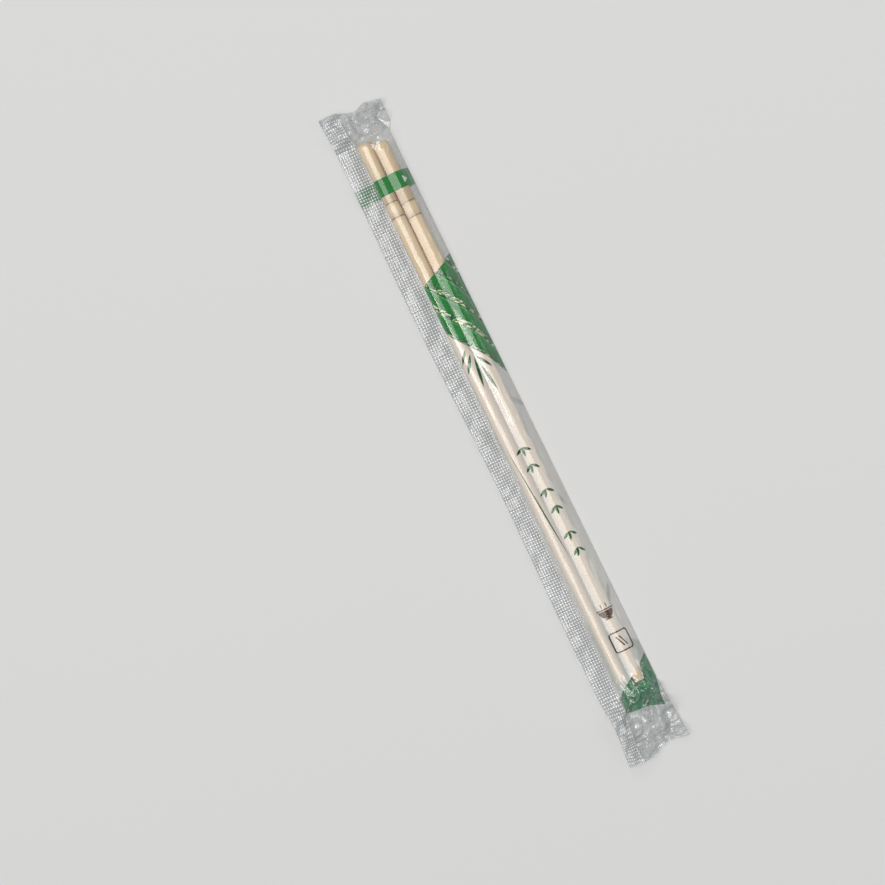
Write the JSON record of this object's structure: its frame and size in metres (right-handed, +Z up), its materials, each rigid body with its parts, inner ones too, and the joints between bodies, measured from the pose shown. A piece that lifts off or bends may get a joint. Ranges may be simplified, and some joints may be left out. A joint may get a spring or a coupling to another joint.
{
  "type": "film-wrapped pair of bamboo chopsticks",
  "caption": "Round bamboo chopsticks with ringed, tapered shafts, sealed side by side in a printed clear film sleeve with a knurled fin seal.",
  "frame": {"origin": "middle of the underside, on the surface that the pack lies on", "axes": "+Y towards the chopsticks' thick ends, +Z up, +X towards the side without the fin"},
  "size_m": [0.022, 0.238, 0.006],
  "materials": {
    "bamboo": "turned and dry, with fine fibres along the stick and two ring grooves",
    "clear_film": "thin clear glossy film, creased, printed in green with a milky panel, seals knurled"
  },
  "bodies": {
    "root": {"left_chopstick": "bamboo", "right_chopstick": "bamboo", "film_sleeve": "clear_film"}
  },
  "joints": []
}
